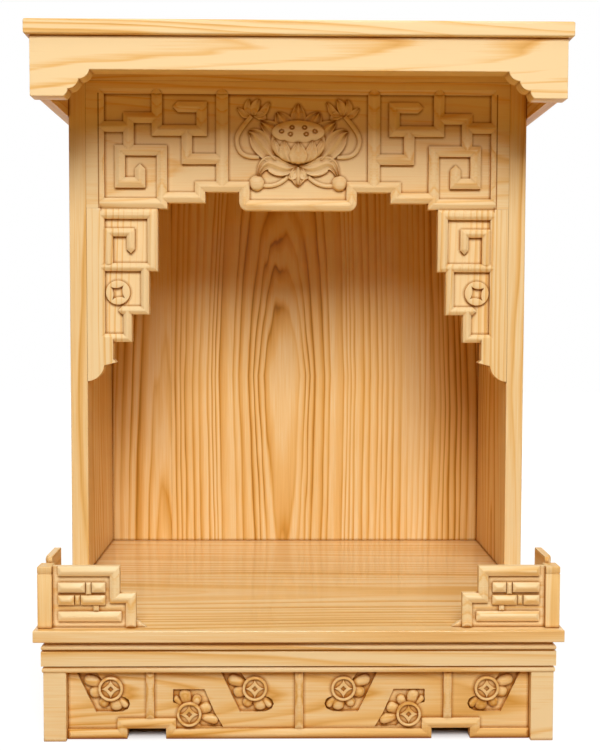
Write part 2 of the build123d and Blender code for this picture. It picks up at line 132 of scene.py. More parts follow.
# How much rougher the varnish is over the dark fibres than over the pale ones
SHEEN_CHANGE = 0.14


def grain_noise(tree, place, pattern, seed):
    """One of the wood's patterns, on the stretch of wood that the seed picks."""
    across, along, shift, detail = pattern
    shift += seed
    sockets = (place, (1 / across, 1 / across, 1 / along), (shift, 0.7 * shift, 1.3 * shift))
    patches = add_node(tree, VECTOR_MATH, sockets, operation="MULTIPLY_ADD").outputs[0]
    sockets = {"Vector": patches, "Scale": 1.0, "Detail": detail, "Roughness": 0.55}
    return add_node(tree, "ShaderNodeTexNoise", sockets).outputs


def grain_place(tree, grain, pith):
    """The place of each point in millimetres from the pith, with Z along the grain."""
    turn_x, turn_y, _ = GRAIN_TURN[grain]
    turn = Matrix.Rotation(turn_y, 3, "Y") @ Matrix.Rotation(turn_x, 3, "X")
    sockets = {
        "Vector": add_node(tree, "ShaderNodeTexCoord").outputs["Object"],
        "Location": -(turn @ Vector(pith)),
        "Rotation": GRAIN_TURN[grain],
        "Scale": (1 / MM, 1 / MM, 1 / MM),
    }
    return add_node(tree, "ShaderNodeMapping", sockets).outputs[0]


def ring_radius(tree, place, taper, seed, dips, wander):
    """Distance of each point from the pith, in a trunk that strays, wavers, dips and tapers."""
    strays = grain_noise(tree, place, TRUNK_STRAY, seed)["Color"]
    sockets = (strays, (wander, wander, 0.0), (-wander / 2, -wander / 2, 0.0))
    moved = add_node(tree, VECTOR_MATH, sockets, operation="MULTIPLY_ADD").outputs[0]
    wavers = grain_noise(tree, place, RING_WAVER, seed)["Color"]
    sockets = (wavers, (WAVER, WAVER, 0.0), moved)
    moved = add_node(tree, VECTOR_MATH, sockets, operation="MULTIPLY_ADD").outputs[0]
    bent = add_node(tree, VECTOR_MATH, (place, moved), operation="ADD").outputs[0]
    along = add_node(tree, "ShaderNodeSeparateXYZ", (place,)).outputs["Z"]
    before = add_node(tree, MATH, (along, 0.0), operation="MINIMUM").outputs[0]
    deeper = add_node(tree, MATH, (before, -dips[0], 1.0), operation="MULTIPLY_ADD").outputs[0]
    past = add_node(tree, MATH, (along, 0.0), operation="MAXIMUM").outputs[0]
    deeper = add_node(tree, MATH, (past, dips[1], deeper), operation="MULTIPLY_ADD").outputs[0]
    squeeze = add_node(tree, "ShaderNodeCombineXYZ", (1.0, deeper, 0.0)).outputs[0]
    flat = add_node(tree, VECTOR_MATH, (bent, squeeze), operation="MULTIPLY").outputs[0]
    radius = add_node(tree, VECTOR_MATH, (flat,), operation="LENGTH").outputs["Value"]
    return add_node(tree, MATH, (along, taper, radius), operation="MULTIPLY_ADD").outputs[0]


def ring_lines(tree, place, radius, rings, contrast, seed):
    """Tone of the ring lines, through good and poor years and through strong and weak patches."""
    pace = add_node(tree, MATH, (radius, YEARS_PACE, seed), operation="MULTIPLY_ADD").outputs[0]
    sockets = {"W": pace, "Scale": 1.0, "Detail": 1.0}
    years = add_node(tree, "ShaderNodeTexNoise", sockets, noise_dimensions="1D").outputs[0]
    shift = add_node(tree, MATH, (years, YEARS_SHIFT), operation="MULTIPLY").outputs[0]
    phase = add_node(tree, MATH, (radius, 1 / rings, shift), operation="MULTIPLY_ADD").outputs[0]
    year = add_node(tree, MATH, (phase,), operation="FRACT").outputs[0]
    ramp = add_node(tree, "ShaderNodeValToRGB", (year,))
    set_stops(ramp.color_ramp, [(share, (level, level, level, 1.0)) for share, level in ONE_YEAR])
    patches = grain_noise(tree, place, LINE_PATCHES, seed)[0]
    sockets = (patches, LINE_STRENGTH * contrast, WEAKEST_LINE)
    strength = add_node(tree, MATH, sockets, operation="MULTIPLY_ADD").outputs[0]
    return add_node(tree, MATH, (ramp.outputs[0], strength), operation="MULTIPLY").outputs[0]


def clear_varnished_pine(
    name, grain, pith, taper, rings, contrast, seed, dips=(0.0, 0.0), wander=24.0, paler=0.0
):
    """Plantation pine, planed and clear varnished: creamy early wood, orange lines, soft gloss.

    The rings are cylinders round the pith, a line along the grain through a point in
    millimetres, and they open along the grain by taper. The pith dips away from the face by
    the shares in dips for each millimetre before and past its point, which closes the rings
    to a long flame there and leaves the lines beside it straight. Rings is the width of a
    ring and wander is how far the trunk strays from a straight line, both in millimetres.
    Paler takes that much off the tone of the whole board.
    """
    wood = bpy.context.scene.cabinet_pine
    material = bpy.data.materials.new(name)
    material.use_nodes = True
    tree = material.node_tree
    place = grain_place(tree, grain, pith)
    radius = ring_radius(tree, place, taper, seed, dips, wander)
    lines = ring_lines(tree, place, radius, rings, contrast, seed)
    fibres = grain_noise(tree, place, FIBRES, seed)[0]
    patches = grain_noise(tree, place, TONE_PATCHES, seed)[0]
    start = FIRST_TONE + TONE_OF_LINES * contrast - FIBRE_TONE / 2 - paler
    tone = add_node(tree, MATH, (fibres, FIBRE_TONE, start), operation="MULTIPLY_ADD").outputs[0]
    tone = add_node(tree, MATH, (patches, PATCH_TONE, tone), operation="MULTIPLY_ADD").outputs[0]
    tone = add_node(tree, MATH, (lines, tone), operation="ADD", use_clamp=True).outputs[0]
    colour = add_node(tree, "ShaderNodeValToRGB", (tone,))
    colours = ((0.0, wood.early_wood), (0.3, wood.body), (0.7, wood.late_wood), (1.0, wood.ring_line))
    set_stops(colour.color_ramp, [(share, linear(hex_colour)) for share, hex_colour in colours])
    varnish(tree, wood, colour.outputs[0], fibres)
    return material


def varnish(tree, wood, colour, fibres):
    """Clear varnish on the wood's colour, with painted shade in its corners and its trace of the grain."""
    shader = tree.nodes["Principled BSDF"]

    # Painted shade: where the ambient occlusion finds little open sky, in carved corners and joints, the
    # colour is multiplied toward the crevice colour
    sockets = {"Distance": wood.crevice_shade_reach}
    openness = add_node(tree, "ShaderNodeAmbientOcclusion", sockets, samples=6).outputs["AO"]
    sockets = (openness, -wood.crevice_shade_strength, wood.crevice_shade_strength)
    painted_shade = add_node(tree, MATH, sockets, operation="MULTIPLY_ADD", use_clamp=True).outputs[0]
    sockets = {0: painted_shade, 6: colour, 7: linear(wood.crevice_shade_colour)}
    shaded_colour = add_node(tree, "ShaderNodeMix", sockets, data_type="RGBA", blend_type="MULTIPLY")
    tree.links.new(shaded_colour.outputs[2], shader.inputs["Base Color"])

    # Varnish follows the grain a little: the hard dark fibres stand a hair proud
    sockets = (fibres, SHEEN_CHANGE, wood.roughness - SHEEN_CHANGE / 2)
    sheen = add_node(tree, MATH, sockets, operation="MULTIPLY_ADD").outputs[0]
    tree.links.new(sheen, shader.inputs["Roughness"])
    bump = add_node(tree, "ShaderNodeBump", {"Height": fibres, "Strength": 0.3, "Distance": 0.1 * MM})
    tree.links.new(bump.outputs[0], shader.inputs["Normal"])
    shader.inputs["IOR"].default_value = 1.5
    shader.inputs["Specular IOR Level"].default_value = wood.wood_gloss
    shader.inputs["Coat Weight"].default_value = wood.varnish
    shader.inputs["Coat Roughness"].default_value = wood.varnish_roughness


def new_piece(name, shape, material, smooth_angle=20.0):
    """A finished mesh piece on the body, smooth but for its sharp edges."""
    limit = math.radians(smooth_angle)
    for face in shape.faces:
        face.smooth = True
    for edge in shape.edges:
        if len(edge.link_faces) == 2 and edge.calc_face_angle() > limit:
            edge.smooth = False
    mesh = bpy.data.meshes.new(name)
    shape.to_mesh(mesh)
    shape.free()
    mesh.materials.append(material)
    piece = bpy.data.objects.new(name, mesh)
    bpy.context.collection.objects.link(piece)
    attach(piece, BODY)
    return piece


def frame_copy(node):
    """A merged copy of a node's mesh, with its flat faces whole."""
    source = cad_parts[node]
    weld = 0.002 * MM
    flat = math.radians(0.2)
    shape = bmesh.new()
    shape.from_mesh(source.data)
    bmesh.ops.transform(shape, matrix=source.matrix_world, verts=shape.verts)
    bmesh.ops.remove_doubles(shape, verts=shape.verts, dist=weld)
    bmesh.ops.dissolve_limit(shape, angle_limit=flat, verts=shape.verts, edges=shape.edges)
    return shape


def points_in(parts):
    """The points among the parts that an operator gives back."""
    return [part for part in parts if isinstance(part, bmesh.types.BMVert)]


def round_edges(shape, edges, radius, segments):
    bmesh.ops.bevel(
        shape,
        geom=edges,
        offset=radius,
        offset_type="OFFSET",
        segments=segments,
        profile=0.5,
        affect="EDGES",
        clamp_overlap=True,
        material=-1,
    )


def ease(shape, radius, least_turn):
    """Rounds every outer edge that turns by more than some degrees, as sanding and varnish do."""
    least = math.radians(least_turn)
    sharp = [edge for edge in shape.edges if edge.is_convex and edge.calc_face_angle(0.0) > least]
    round_edges(shape, sharp, radius, 2)


class CabinetPine(bpy.types.PropertyGroup):
    """Colours, varnish, painted corner shade and worked edges of the cabinet's pine"""

    early_wood: StringProperty(name="Early wood", description="Palest wood of a ring", default="#F9DDAA")
    body: StringProperty(name="Body", description="Colour between the lines", default="#F0C27A")
    late_wood: StringProperty(name="Late wood", description="Soft side of a ring line", default="#DAA04A")
    ring_line: StringProperty(name="Ring line", description="Darkest edge of a ring", default="#B57B2C")
    roughness: FloatProperty(
        name="Roughness",
        description="Roughness of the varnished wood",
        default=0.4,
        min=0.0,
        max=1.0,
        subtype="FACTOR",
    )
    varnish: FloatProperty(
        name="Varnish",
        description="Weight of the clear coat",
        default=0.12,
        min=0.0,
        max=1.0,
        subtype="FACTOR",
    )
    floor_varnish: FloatProperty(
        name="Floor varnish",
        description="Weight of the rubbed coat on the floor board",
        default=0.7,
        min=0.0,
        max=1.0,
        subtype="FACTOR",
    )
    wood_gloss: FloatProperty(
        name="Wood gloss",
        description="Specular level of the wood under its coat",
        default=0.08,
        min=0.0,
        max=1.0,
        subtype="FACTOR",
    )
    varnish_roughness: FloatProperty(
        name="Varnish roughness",
        description="Roughness of the clear coat",
        default=0.1,
        min=0.0,
        max=1.0,
        subtype="FACTOR",
    )
    relief_depth: FloatProperty(
        name="Screen relief",
        description="How far the screen's ground lies behind its bars",
        default=6.0 * MM,
        unit="LENGTH",
    )
    apron_relief: FloatProperty(
        name="Apron relief",
        description="How far the apron's ground lies behind its border",
        default=4.0 * MM,
        unit="LENGTH",
    )
    cloud_depth: FloatProperty(
        name="Cloud hollow",
        description="Depth of the hollows round the clouds, in millimetres",
        default=3.6,
    )
    # Painted shade in carved corners and joints: its reach, strength and colour
    crevice_shade_reach: FloatProperty(
        name="Crevice",
        description="Reach of the darker tone in corners",
        default=3.0 * MM,
        unit="LENGTH",
    )
    crevice_shade_strength: FloatProperty(
        name="Crevice tint", description="How strongly the corners darken", default=1.8, min=0.0
    )
    crevice_shade_colour: StringProperty(
        name="Crevice colour", description="Tone laid over the wood in corners", default="#B08024"
    )
    edge: FloatProperty(
        name="Edge",
        description="Radius of the sanded edges",
        default=0.6 * MM,
        min=0.0,
        unit="LENGTH",
    )
    carved_edge: FloatProperty(
        name="Carved edge",
        description="Radius left by the carver's knife and the sandpaper",
        default=0.35 * MM,
        min=0.0,
        unit="LENGTH",
    )


class CabinetStage(bpy.types.PropertyGroup):
    """The studio floor, the light and the camera"""

    floor_colour: StringProperty(name="Floor", description="Colour of the studio floor", default="#F4F3F1")
    floor_size: FloatProperty(
        name="Floor size", description="Side of the floor", default=8.0, unit="LENGTH"
    )
    bounce_colour: StringProperty(
        name="Bounce", description="Colour of the floor's light on the wood", default="#B58C44"
    )
    paper_glow: FloatProperty(name="Paper", description="Strength of the paper's own white", default=1.15)
    sky_level: FloatProperty(name="Sky", description="Strength of the even studio light", default=0.012)
    key_power: FloatProperty(
        name="Key lamp", description="Power of the front lamp", default=112.0, unit="POWER"
    )
    top_power: FloatProperty(
        name="Top lamp", description="Power of the upper lamp", default=22.0, unit="POWER"
    )
    rear_power: FloatProperty(
        name="Rear lamps",
        description="Power of each of the two lamps behind",
        default=44.0,
        unit="POWER",
    )
    lens: FloatProperty(name="Lens", description="Focal length in millimetres", default=53.05, min=1.0)
    camera_place: FloatVectorProperty(
        name="Camera",
        description="Place of the camera",
        default=(-0.0132, -1.0953, 0.3575),
        subtype="TRANSLATION",
    )
    yaw: FloatProperty(
        name="Yaw", description="Turn to the right", default=math.radians(0.825), subtype="ANGLE"
    )
    pitch: FloatProperty(
        name="Pitch", description="Look down", default=math.radians(3.111), subtype="ANGLE"
    )
    roll: FloatProperty(
        name="Roll", description="Tilt of the frame", default=math.radians(0.155), subtype="ANGLE"
    )


# Which way each board's grain runs, where its pith lies (mm), its taper, the width of its rings
# (mm) and its contrast: a far pith draws straight lines, a near one the pointed figure
BOARDS = {
    "top_board": ("across", (0, -140, 560), 0.03, 7.0, 0.68),
    "canopy_front_fascia": ("across", (60, -60, 590), 0.035, 7.0, 0.76),
    "canopy_left_fascia": ("front_to_back", (-180, 0, 620), 0.02, 6.0, 0.85),
    "canopy_right_fascia": ("front_to_back", (190, 0, 500), 0.02, 6.0, 0.85),
    "ceiling_board": ("across", (40, 80, 660), 0.02, 7.0, 0.6),
    "floor_board": ("across", (-40, -60, 60), 0.03, 9.0, 0.76),
    "left_front_post": ("upright", (-190, 40, 0), 0.012, 5.0, 0.85),
    "right_front_post": ("upright", (180, 40, 0), 0.012, 5.0, 0.85),
    "left_side_panel": ("upright", (-260, 60, 0), 0.02, 6.0, 0.85),
    "right_side_panel": ("upright", (260, 90, 0), 0.02, 6.0, 0.85),
    "front_cornice": ("across", (0, -150, 50), 0.02, 6.0, 0.72),
    "left_cornice": ("front_to_back", (-180, 0, 50), 0.02, 6.0, 0.85),
    "right_cornice": ("front_to_back", (180, 0, 50), 0.02, 6.0, 0.85),
    "rear_cornice_rail": ("across", (0, 160, 60), 0.02, 6.0, 0.85),
    "left_front_leg": ("across", (0, -90, 20), 0.02, 8.0, 0.45),
    "right_front_leg": ("across", (0, -80, 40), 0.02, 8.0, 0.45),
    "left_rear_leg": ("upright", (-240, 150, 0), 0.02, 6.0, 0.85),
    "right_rear_leg": ("upright", (240, 150, 0), 0.02, 6.0, 0.85),
    "left_side_apron": ("front_to_back", (-170, 0, 20), 0.02, 6.0, 0.85),
    "right_side_apron": ("front_to_back", (170, 0, 20), 0.02, 6.0, 0.85),
    "rear_apron": ("across", (0, 140, 20), 0.02, 6.0, 0.85),
    "left_corner_post": ("upright", (-400, -140, 0), 0.02, 8.0, 0.6),
    "right_corner_post": ("upright", (400, -140, 0), 0.02, 8.0, 0.6),
}

CARVED = {
    "valance_panel": ("across", (30, 60, 500), 0.05, 8.0, 0.55),
    "left_drop_bracket": ("upright", (-330, -90, 0), 0.02, 6.0, 0.6),
    "right_drop_bracket": ("upright", (340, -80, 0), 0.02, 6.0, 0.6),
    "left_front_rail": ("across", (0, -130, 90), 0.02, 7.0, 0.42),
    "right_front_rail": ("across", (0, -130, 150), 0.02, 7.0, 0.42),
    "left_side_rail": ("front_to_back", (-250, 0, 100), 0.02, 7.0, 0.85),
    "right_side_rail": ("front_to_back", (250, 0, 100), 0.02, 7.0, 0.85),
    "front_apron": ("across", (-60, -150, 30), 0.05, 8.0, 0.74),
}

# How much paler than the rest each board is drawn: the canopy's front is paler, painted light where the
# front lamp falls full on it, the apron is darker, painted shade of its deep carving, and the corner posts
# are darker all over
PALER = {
    "top_board": 0.12,
    "canopy_front_fascia": 0.14,
    "front_apron": -0.12,
    "left_corner_post": -0.12,
    "right_corner_post": -0.12,
}

# Only edges that turn by more than this are eased (degrees): a carved one turns less than a sawn one
SAWN_TURN = 30
CARVED_TURN = 15

# Each board starts this far on in the wood's patterns, so that no two are alike
SEED_STEP = 11.3
CARVED_SEED = 300
BACK_SEED = 500
BACK_SEED_STEP = 9

# The groove under a corner post's cap: below the top, width and depth
CAP_GROOVE = 6.0 * MM
CAP_GROOVE_WIDTH = 1.2 * MM
CAP_GROOVE_DEPTH = 0.6 * MM


def score(shape, height, width, depth):
    """Runs a fine groove round an upright at a height. The middle is cut last, and then pressed in."""
    centre = sum((vertex.co for vertex in shape.verts), Vector()) / len(shape.verts)
    for level in (height - width / 2, height + width / 2, height):
        parts = [*shape.verts, *shape.edges, *shape.faces]
        cut = bmesh.ops.bisect_plane(shape, geom=parts, plane_co=(0, 0, level), plane_no=(0, 0, 1))
    for vertex in points_in(cut["geom_cut"]):
        away = vertex.co - centre
        away.z = 0
        vertex.co -= away.normalized() * depth


def finish_board(node, grain, pith, taper, rings, contrast, seed, edge, least_turn):
    """Gives one board its wood and its eased edges."""
    name = f"pine_{node}"
    # A paler or darker board: painted light on the canopy's front, painted shade on the apron
    paler = PALER.get(node, 0.0)
    material = clear_varnished_pine(name, grain, pith, taper, rings, contrast, seed, paler=paler)
    shape = frame_copy(node)
    ease(shape, edge, least_turn)
    if node.endswith("corner_post"):
        score(shape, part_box(node)[1][2] - CAP_GROOVE, CAP_GROOVE_WIDTH, CAP_GROOVE_DEPTH)
    piece = new_piece(f"{node}_wood", shape, material)
    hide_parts(node)


class CABINET_OT_boards(bpy.types.Operator):
    """Ease the edges of the plain boards and give each its own pine"""

    bl_idname = "cabinet.boards"
    bl_label = "Finish the Boards"

    def execute(self, context):
        wood = context.scene.cabinet_pine
        for number, (node, board) in enumerate(BOARDS.items()):
            finish_board(node, *board, number * SEED_STEP, wood.edge, SAWN_TURN)

        # The floor board is rubbed and varnished until it mirrors what stands on it
        floor_pine = bpy.data.materials["pine_floor_board"].node_tree.nodes["Principled BSDF"]
        floor_pine.inputs["Coat Weight"].default_value = wood.floor_varnish
        return {"FINISHED"}


class CABINET_OT_carved_boards(bpy.types.Operator):
    """Give the carved panels their pine"""

    bl_idname = "cabinet.carved_boards"
    bl_label = "Finish the Carved Panels"

    def execute(self, context):
        wood = context.scene.cabinet_pine
        for number, (node, board) in enumerate(CARVED.items()):
            finish_board(node, *board, CARVED_SEED + number * SEED_STEP, wood.carved_edge, CARVED_TURN)
        return {"FINISHED"}


# The back panel's three glued boards: right edge (mm from the middle), pith, taper, ring
# width, contrast, dips and wander
BACK_BOARDS = (
    (-143.0, (-150, 195, 60), 0.0, 7.0, 1.0, (0.0, 0.0035), 5.0),
    (156.0, (-14, 201.6, 288), 0.0, 7.0, 1.0, (0.0022, 0.0052), 5.0),
    (221.0, (118, 206, 250), 0.0, 7.5, 1.04, (0.0022, 0.0022), 22.0),
)
BACK_EDGE = 0.25 * MM


class CABINET_OT_back_boards(bpy.types.Operator):
    """Build the back panel from three boards glued edge to edge"""

    bl_idname = "cabinet.back_boards"
    bl_label = "Build the Back Boards"

    def execute(self, context):
        low = BACK_LOW.x
        for number, (right_edge, *wood, dips, wander) in enumerate(BACK_BOARDS, 1):
            high = min(right_edge * MM, BACK_HIGH.x)
            size = Vector((high - low, BACK_HIGH.y - BACK_LOW.y, BACK_HIGH.z - BACK_LOW.z))
            centre = (BACK_LOW + BACK_HIGH) / 2
            centre.x = (low + high) / 2
            shape = bmesh.new()
            bmesh.ops.create_cube(shape, size=1.0)
            bmesh.ops.scale(shape, vec=size, verts=shape.verts)
            bmesh.ops.translate(shape, vec=centre, verts=shape.verts)
            ease(shape, BACK_EDGE, SAWN_TURN)
            seed = BACK_SEED + BACK_SEED_STEP * number
            material = clear_varnished_pine(
                f"pine_back_{number}", "upright", *wood, seed, dips=dips, wander=wander
            )
            piece = new_piece(f"back_board_{number}", shape, material)
            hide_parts("back_panel")
            low = high
        return {"FINISHED"}


# Carving is drawn in millimetres from a centre on its panel's ground, right and up, and reaches
# this far into the ground, which closes it
SUNK = 0.6

# A petal's shape: the cells of its grid, the powers that round its tip and broaden its hollows,
# the share of the half-width where its rim starts to fall and how far, and how low its ends are
PETAL_CELLS = 28
TIP_POWERS = (1.6, 0.8)
HOLLOW_POWER = 0.65
RIM_START = 0.75
RIM_FALL = 0.35
LOW_END = 0.6

# How far a stem's middle stands over the ground, as a share of its radius, and how many points
# an outline has
STEM_LIFT = 0.25
OUTLINE_POINTS = 96


def bezier(points, t):
    """A point on the Bezier curve of a few control points."""
    while len(points) > 1:
        points = [a.lerp(b, t) for a, b in zip(points, points[1:])]
    return points[0]


def blade(shape, spine, width, height, broad=0.45, root=0.4, hollows=2, hollow=0.4, bed=None):
    """A carved petal or leaf along a bent spine, with raised rims and veins.

    The spine's points are (right, up). Width is the widest half-width, at the share broad of
    the length, and root is the share of it at the foot. Height is the rim over the ground, or
    over the bed that it lies on. Hollows run along it side by side, each cut down by the share
    hollow of the height.
    """
    cells = PETAL_CELLS
    grid = bmesh.ops.create_grid(shape, x_segments=cells, y_segments=cells, size=1.0)["verts"]
    points = [Vector(point) for point in spine]
    for vertex in grid:
        t, v = (vertex.co.x + 1) / 2, vertex.co.y
        ahead = bezier(points, min(t + 0.01, 1.0)) - bezier(points, max(t - 0.01, 0.0))
        side = Vector((-ahead.y, ahead.x)).normalized()
        if t < broad:
            swell = root + (1 - root) * math.sin(math.pi / 2 * t / broad)
        else:
            swell = (1 - ((t - broad) / (1 - broad)) ** TIP_POWERS[0]) ** TIP_POWERS[1]
        flat = bezier(points, t) + side * (v * width * swell)
        rim = 1 - hollow * (0.5 - 0.5 * math.cos(math.pi * hollows * (v + 1))) ** HOLLOW_POWER
        rim -= RIM_FALL * max(0.0, (abs(v) - RIM_START) / (1 - RIM_START)) ** 2
        rise = height * rim * (LOW_END + (1 - LOW_END) * math.sin(math.pi * (0.15 + 0.7 * t)))
        vertex.co = Vector((flat.x, -rise - (bed(flat.x, flat.y) if bed else 0.0), flat.y))
    close_down(shape, grid)


def close_down(shape, skin):
    """Gives a carved skin its sides, and a back that is sunk in the ground."""
    faces = list(dict.fromkeys(face for vertex in skin for face in vertex.link_faces))
    for vertex in points_in(bmesh.ops.extrude_face_region(shape, geom=faces)["geom"]):
        vertex.co.y = SUNK


def mound(shape, centre, reach, height, toward=None, neck=0.0, floor=0.0):
    """A rounded lobe that stands on the ground, or on a hollow's floor that far below it.

    Toward and neck draw it out to what it grows from.
    """
    ball = bmesh.ops.create_uvsphere(shape, u_segments=28, v_segments=14, radius=1.0)["verts"]
    centre = Vector((centre[0], 0, centre[1]))
    for vertex in ball:
        x, y, z = vertex.co.x, vertex.co.z, vertex.co.y
        swell = (1 - abs(y) ** 3) ** 0.5 if abs(y) < 1 else 0.0
        flat = Vector((x, 0, z))
        if flat.length > 1e-6:
            flat = flat.normalized() * min(1.0, 0.25 * flat.length + 0.75 * swell)
        place = centre + flat * reach
        if toward is not None:
            pull = Vector((toward[0], 0, toward[1])) - centre
            if flat.dot(pull) > 0:
                place += pull * min(1.0, flat.dot(pull) / pull.length) * neck
        place.y = floor - (height + floor) * max(y, -0.2)
        vertex.co = place


def tube(shape, points, radius):
    """A round carved stem along one smooth curve, its lower part sunk in the ground."""
    curve = bpy.data.curves.new("stem", "CURVE")
    curve.dimensions = "3D"
    curve.bevel_depth = radius
    curve.bevel_resolution = 3
    curve.use_fill_caps = True
    spline = curve.splines.new("NURBS")
    spline.points.add(len(points) - 1)
    for point, (x, z) in zip(spline.points, points):
        point.co = (x, -STEM_LIFT * radius, z, 1.0)
    spline.order_u = 4
    spline.use_endpoint_u = True
    spline.resolution_u = 8
    holder = bpy.data.objects.new("stem", curve)
    mesh = bpy.data.meshes.new_from_object(holder)
    shape.from_mesh(mesh)
    bpy.data.objects.remove(holder)
    bpy.data.curves.remove(curve)
    bpy.data.meshes.remove(mesh)


def circle_rule(radius):
    """The outline of a plain circle."""
    return lambda angle: radius


def star_rule(reach, power):
    """The four-pointed outline with hollow sides of an old coin's hole; power 1 is a plain diamond."""
    return lambda a: reach / (abs(math.cos(a)) ** power + abs(math.sin(a)) ** power) ** (1 / power)


def outline(shape, rule):
    """A closed loop of edges whose radius follows a rule of the angle."""
    ring = bmesh.ops.create_circle(shape, segments=OUTLINE_POINTS, radius=1.0)["verts"]
    for vertex in ring:
        angle = math.atan2(vertex.co.y, vertex.co.x)
        vertex.co = rule(angle) * Vector((math.cos(angle), 0, math.sin(angle)))
    return list(dict.fromkeys(edge for vertex in ring for edge in vertex.link_edges))


def pierced(shape, outer, inner, height, rounding):
    """A raised plate between two outlines, with its upper edges rounded."""
    edges = outline(shape, outer) + outline(shape, inner)
    plate = bmesh.ops.bridge_loops(shape, edges=edges)["faces"]
    top = points_in(bmesh.ops.extrude_face_region(shape, geom=plate)["geom"])
    bmesh.ops.translate(shape, vec=(0, -height, 0), verts=top)
    face_points = set(top)
    level = [edge for edge in shape.edges if set(edge.verts) <= face_points]
    rim = [edge for edge in level if sum(set(face.verts) <= face_points for face in edge.link_faces) == 1]
    round_edges(shape, rim, rounding, 3)


def settle(shape, before, centre, ground, mirrored=False):
    """Brings what was drawn since, in millimetres, to its place on a panel's ground, in metres."""
    drawn = [vertex for vertex in shape.verts if vertex not in before]
    bmesh.ops.scale(shape, vec=(-MM if mirrored else MM, MM, MM), verts=drawn)
    bmesh.ops.translate(shape, vec=(centre[0] * MM, ground, centre[1] * MM), verts=drawn)


def add_carving(name, shape, board, smooth_angle):
    """Makes carving a piece, in the wood of the board that it is cut from."""
    bmesh.ops.recalc_face_normals(shape, faces=shape.faces)
    new_piece(name, shape, bpy.data.materials[f"pine_{board}"], smooth_angle)


# The lotus, from a point above the middle of the tablet's lower edge (mm, left half; the right
# is its mirror). A petal or leaf has its spine's points, its half-width and its height
LOTUS_RISE = -1.2
POD = (0.0, 67.0)
POD_REACH = (26.1, 20.6)
POD_RISE = 5.0
POD_WALL = 4.5
DISC = (0.0, 75.9)
DISC_REACH = (25.4, 11.0)
DISC_RISE = 3.4
DISC_SINK = 0.4
SEED_RADIUS = 3.1
SEED_SQUASH = 0.85
SEED_GROOVE = 1.6
BACK_PETALS = (
    (((0, 80), (0, 92), (0, 104.5)), 7.4, 3.6),
    (((-8, 76), (-15, 87), (-20.8, 96.0)), 8.6, 4.2),
    (((-14, 70), (-26, 80), (-36.3, 86.4)), 8.4, 4.6),
    (((-22, 50), (-36, 62), (-39, 76), (-48.6, 76.8)), 9.8, 5.4),
)
FRONT_PETALS = (
    (((-14.5, 50.5), (-22, 56), (-23.1, 69.5)), 4.6, 2.2),
    (((-8, 46.5), (-14.5, 54), (-13.4, 68)), 6.2, 2.8),
)
MIDDLE_PETAL = (((0, 45.2), (0, 54), (0, 66)), 8.6, 3.6)
UPPER_PETALS = (
    (((-45.5, 92.5), (-52, 91), (-54, 97), (-59.4, 100)), 3.4, 2.6),
    (((-45.5, 93), (-52, 100), (-46.6, 108.4)), 3.6, 3.4),
    (((-43, 93), (-43, 102), (-37.4, 108.4)), 4.4, 3.8),
    (((-43, 93), (-31, 93), (-33, 101), (-27.0, 105.6)), 3.6, 3.0),
    (((-43, 92.5), (-35, 95), (-31.4, 87.4)), 4.2, 2.6),
)
SEEDS = ((-16.0, 76.2), (-7.6, 73.5), (-6.0, 79.8), (6.0, 79.8), (7.6, 73.5), (16.0, 76.2))
UPPER_STEM = ((-45.6, 92), (-53, 83), (-60.5, 74), (-59.5, 61), (-52, 51.8), (-38, 53))
LOWER_STEM = ((-34, 25.6), (-25, 23.8), (-16.5, 27), (-9.5, 34.5))
CURLED_LEAF = (((-0.6, 44.8), (-20, 32), (-31, 64), (-39.6, 31)), 8.8, 5.0)
POINTED_LEAF = (((0, 43.0), (0, 34), (0, 24.8)), 7.8, 4.8)
LEAF_TIP = (((-1, 40), (-5, 32.5), (-10.2, 34.4)), 4.4, 4.2)
STEM_RADII = (2.3, 2.2)
BUD = (-40.2, 27.6)
BUD_RADIUS = 7.6
BUD_RISE = 6.0


def pod_bed(x, z):
    """Height of the seed pod over the ground at a point of the drawing."""
    spread = ((x - POD[0]) / POD_REACH[0]) ** 2 + ((z - POD[1]) / POD_REACH[1]) ** 2
    return POD_WALL + POD_RISE * math.sqrt(1 - spread) if spread < 1 else 0.0


def disc_height(x, z):
    """Height of the seed disc over the ground, with a groove round each seed."""
    spread = ((x - DISC[0]) / DISC_REACH[0]) ** 2 + ((z - DISC[1]) / DISC_REACH[1]) ** 2
    height = pod_bed(*DISC) - DISC_SINK + DISC_RISE * math.sqrt(max(0.0, 1 - spread))
    for seed_x, seed_z in SEEDS:
        away = math.hypot(x - seed_x, (z - seed_z) / SEED_SQUASH) / SEED_RADIUS
        if away < 1:
            height -= SEED_GROOVE * math.sin(math.pi * away**1.5) ** 2
    return height


def seed_disc(shape):
    """The flat top of the pod, an oval closed down into it."""
    grid = bmesh.ops.create_grid(shape, x_segments=120, y_segments=48, size=1.0)["verts"]
    for vertex in grid:
        u, v = vertex.co.x, vertex.co.y
        x = DISC[0] + DISC_REACH[0] * u * math.sqrt(1 - v * v / 2)
        z = DISC[1] + DISC_REACH[1] * v * math.sqrt(1 - u * u / 2)
        vertex.co = Vector((x, -disc_height(x, z), z))
    close_down(shape, grid)


